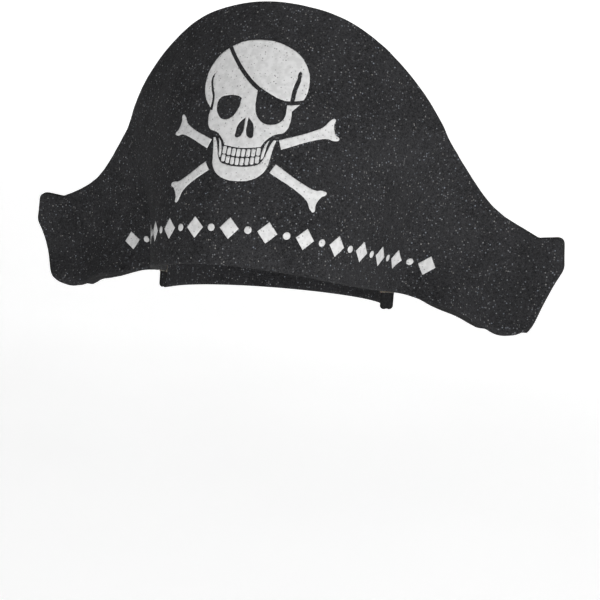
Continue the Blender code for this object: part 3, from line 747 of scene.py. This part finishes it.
def make_ink(name, plate):
    """Divide a flat island of ink, roughen its edge and bend it over the panel's face."""
    low, high = vertex_array(plate.data).min(axis=0), vertex_array(plate.data).max(axis=0)
    edit = bmesh.new()
    edit.from_mesh(plate.data)
    slice_mesh(edit, grid_lines(low[0], high[0], INK_GRID), grid_lines(low[1], high[1], INK_GRID))
    bmesh.ops.triangulate(edit, faces=[face for face in edit.faces if len(face.verts) > 4])
    mesh = bpy.data.meshes.new(name)
    edit.to_mesh(mesh)
    edit.free()
    bpy.data.objects.remove(plate)
    points = vertex_array(mesh)
    spots = points * (1, 1, 0)
    for size, wavelength in INK_WANDER:
        points[:, 0] += size * noise_at(spots, wavelength, INK_SEED_ACROSS)
        points[:, 1] += size * noise_at(spots, wavelength, INK_SEED_UP)
    set_vertices(mesh, points)
    bend(mesh)
    piece = new_piece(f"ink_{name}", mesh, [INK])
    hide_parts(f"print_{name}")


def both_halves(half):
    """Closed outline from a half that runs from the centre line to the centre line."""
    left = [(-anchor[0],) + tuple(anchor[1:]) for anchor in reversed(half) if anchor[0] > 0.01]
    return list(half) + left


def opposite(outline):
    """An outline's mirror image across the centre line."""
    return [(-anchor[0],) + tuple(anchor[1:]) for anchor in outline]


def as_corners(points):
    return [(point[0], point[1], 1) for point in points]


def strap_line(side):
    """Edge of the eye patch's strap: side +1 is its upper edge and -1 its lower one."""
    points = []
    for index, (s, h) in enumerate(PATCH_STRAP):
        before = PATCH_STRAP[max(index - 1, 0)]
        after = PATCH_STRAP[min(index + 1, len(PATCH_STRAP) - 1)]
        run = Vector((after[0] - before[0], after[1] - before[1])).normalized()
        offset = Vector((-run.y, run.x)) * side * PATCH_STRAP_WIDTH / 2
        points.append((s + offset.x, h + offset.y))
    return points


def make_skull():
    """Skull print: a crown above the patch's strap, and a face below it with its openings."""
    silhouette = both_halves(SKULL_HALF)
    upper = strap_line(1)
    above = [(upper[0][0], PRINT_TOP, 1)] + as_corners(upper[:1]) + upper[1:-1] + as_corners(upper[-1:])
    above.append((upper[-1][0], PRINT_TOP, 1))
    lower = strap_line(-1)
    below = [(PRINT_LEFT, PRINT_BOTTOM, 1), (PRINT_LEFT, PRINT_TOP, 1)] + as_corners(lower[:1])
    below += lower[1:-1] + as_corners(lower[-1:]) + [(lower[-1][0], PRINT_BOTTOM, 1)]

    crown = cut(ink_plate([silhouette]), "INTERSECT", above)
    make_ink("skull_crown", cut(crown, "DIFFERENCE", LEFT_CREASE))

    face = cut(ink_plate([silhouette]), "INTERSECT", below)
    for opening in (EYE_SOCKET, EYE_PATCH, NOSE_HALF, opposite(NOSE_HALF), RIGHT_CREASE):
        face = cut(face, "DIFFERENCE", opening)
    make_ink("skull_face", face)


def make_jaw():
    outer, inner = list(JAW_OUTER_HALF), list(JAW_INNER_HALF)
    left = opposite(reversed(inner[:-1])) + opposite(reversed(outer[1:]))
    make_ink("jaw", ink_plate([outer + inner + left]))
    make_ink("gum_left", ink_plate([GUM_HALF]))
    make_ink("gum_right", ink_plate([opposite(GUM_HALF)]))


def make_teeth():
    """Two rows of small square teeth on a slight smile."""
    for row, (row_height, tooth_height, smile) in TEETH_ROWS.items():
        for index in range(TEETH_ACROSS):
            middle = (index - (TEETH_ACROSS - 1) / 2) * TOOTH_PITCH
            base = row_height + smile * middle ** 2
            half_width, half_height = TOOTH_WIDTH / 2, tooth_height / 2
            outline = []
            for s_sign, h_sign in ((1, 1), (-1, 1), (-1, -1), (1, -1)):
                upright = (middle + s_sign * half_width, base + h_sign * (half_height - TOOTH_CORNER), 1)
                level = (middle + s_sign * (half_width - TOOTH_CORNER), base + h_sign * half_height, 1)
                outline += [upright, level] if s_sign == h_sign else [level, upright]
            make_ink(f"tooth_{row}_{index + 1}", ink_plate([outline]))


def make_bones():
    for name, (inner, outer) in BONE_ARMS.items():
        start, end = Vector(inner), Vector(outer)
        along = (end - start).normalized()
        across = Vector((-along.y, along.x))
        upper = [(start + across * BONE_HALF_SHAFT, 1)]
        upper += [(end + along * x + across * y, 0) for x, y in BONE_KNUCKLE]
        lower = [(end + along * x - across * y, 0) for x, y in reversed(BONE_KNUCKLE)]
        lower.append((start - across * BONE_HALF_SHAFT, 1))
        outline = [(point.x, point.y, sharp) for point, sharp in upper + lower]
        make_ink(f"bone_{name}", ink_plate([outline]))


def rim_height(place):
    return float(smooth_height(RIM, np.array([place * MM]))[0]) / MM


def border_point(place):
    """Centre of a border motif and the direction of the border there, in mm."""
    centre = Vector((place, rim_height(place) + BORDER_LIFT))
    return centre, Vector((2, rim_height(place + 1) - rim_height(place - 1))).normalized()


def make_border():
    """Diamonds and dots that follow the rim."""
    middle = (BORDER_DIAMONDS - 1) / 2
    for index in range(BORDER_DIAMONDS):
        centre, along = border_point((index - middle) * BORDER_PITCH)
        across = Vector((-along.y, along.x))
        tips = (along * DIAMOND_HALF_WIDTH, across * DIAMOND_HALF_HEIGHT,
                along * -DIAMOND_HALF_WIDTH, across * -DIAMOND_HALF_HEIGHT)
        outline = [(centre.x + tip.x, centre.y + tip.y, 1) for tip in tips]
        make_ink(f"diamond_{index + 1:02d}", ink_plate([outline]))
    for index in range(BORDER_DIAMONDS - 1):
        centre, along = border_point((index + 0.5 - middle) * BORDER_PITCH)
        outline = [(centre.x + BORDER_DOT_RADIUS * math.cos(quarter * math.pi / 2),
                    centre.y + BORDER_DOT_RADIUS * math.sin(quarter * math.pi / 2)) for quarter in range(4)]
        make_ink(f"dot_{index + 1:02d}", ink_plate([outline]))


# ---------------------------------------------------------------- floor, light and camera

def make_studio():
    """Pale floor that curves up into a backdrop, and soft light that is stronger from low on the right."""
    edit = bmesh.new()
    profile = [(FLOOR_NEAR, FLOOR_Z)]
    for step in range(FLOOR_CURVE_STEPS + 1):
        angle = step / FLOOR_CURVE_STEPS * math.pi / 2
        profile.append((FLOOR_FAR - FLOOR_CURVE + FLOOR_CURVE * math.sin(angle),
                        FLOOR_Z + FLOOR_CURVE * (1 - math.cos(angle))))
    profile.append((FLOOR_FAR, FLOOR_Z + BACKDROP_TOP))
    rows = [[edit.verts.new((x, y, z)) for y, z in profile] for x in (-FLOOR_WIDTH / 2, FLOOR_WIDTH / 2)]
    for index in range(len(profile) - 1):
        edit.faces.new([rows[0][index], rows[1][index], rows[1][index + 1], rows[0][index + 1]])
    mesh = bpy.data.meshes.new("studio_floor")
    edit.to_mesh(mesh)
    edit.free()
    mesh.shade_smooth()
    floor = bpy.data.objects.new("studio_floor", mesh)
    bpy.context.scene.collection.objects.link(floor)
    material, tree, shader = new_material("pale_paper")
    tone = remap(tree, clouds(tree, object_place(tree), 0.4), 0.3, 0.7, 0.0, 1.0)
    tree.links.new(mix_colours(tree, tone, PAPER_DARK, PAPER_LIGHT), shader.inputs["Base Color"])
    shader.inputs["Roughness"].default_value = 0.9
    shader.inputs["Emission Color"].default_value = (1.0, 1.0, 1.0, 1.0)
    shader.inputs["Emission Strength"].default_value = FLOOR_GLOW
    mesh.materials.append(material)

    world = bpy.data.worlds.new("studio")
    world.use_nodes = True
    background = world.node_tree.nodes["Background"]
    background.inputs["Color"].default_value = (1.0, 1.0, 1.0, 1.0)
    direction = add_node(world.node_tree, "ShaderNodeTexCoord").outputs["Generated"]
    axes = add_node(world.node_tree, "ShaderNodeSeparateXYZ", {"Vector": direction})
    by_height = remap(world.node_tree, axes.outputs["Z"], -0.1, 0.9, 1.1, 0.30)
    by_side = remap(world.node_tree, axes.outputs["X"], -0.8, 0.8, 0.48, 1.15)
    world.node_tree.links.new(maths(world.node_tree, "MULTIPLY", by_height, by_side),
                              background.inputs["Strength"])
    bpy.context.scene.world = world

    for name, place, target, size, power in LAMPS:
        light = bpy.data.lights.new(name, "AREA")
        light.shape = "DISK"
        light.size = size
        light.energy = power
        lamp = bpy.data.objects.new(name, light)
        lamp.location = place
        lamp.rotation_euler = (Vector(target) - Vector(place)).to_track_quat("-Z", "Y").to_euler()
        bpy.context.scene.collection.objects.link(lamp)


def make_camera():
    data = bpy.data.cameras.new("camera")
    data.sensor_width = CAMERA_SENSOR
    data.lens = CAMERA_LENS
    data.clip_start, data.clip_end = 0.01, 30.0
    camera = bpy.data.objects.new("camera", data)
    axes = Matrix((CAMERA_RIGHT, CAMERA_UP, CAMERA_BACK)).transposed()
    camera.matrix_world = Matrix.Translation(CAMERA_PLACE) @ axes.to_4x4()
    bpy.context.scene.collection.objects.link(camera)
    bpy.context.scene.camera = camera
    bpy.context.scene.view_settings.view_transform = "Standard"


make_camera()
make_studio()

ACROSS_TABLE, BACK_TABLE = plan_tables()
FOAM = foam_material("foam_sheet", FOAM_DARK, FOAM_LIGHT, 0.32, FOAM_CELL, FOAM_BUMP)
# Shaded copy of the foam for the strap: darker colours and fewer glints, painted shade
SHADED_STRAP_FOAM = foam_material("strap_foam", STRAP_SHADED_DARK, STRAP_SHADED_LIGHT, 0.28, FOAM_CELL, FOAM_BUMP)
CUT_FOAM = foam_material("cut_foam", CUT_DARK, CUT_LIGHT, 0.05, CUT_CELL, CUT_BUMP)
INK = ink_material()
GLUE = glue_material()

make_panel()
make_strap()
make_glue("left", 1)
make_glue("right", -1)
make_skull()
make_jaw()
make_teeth()
make_bones()
make_border()
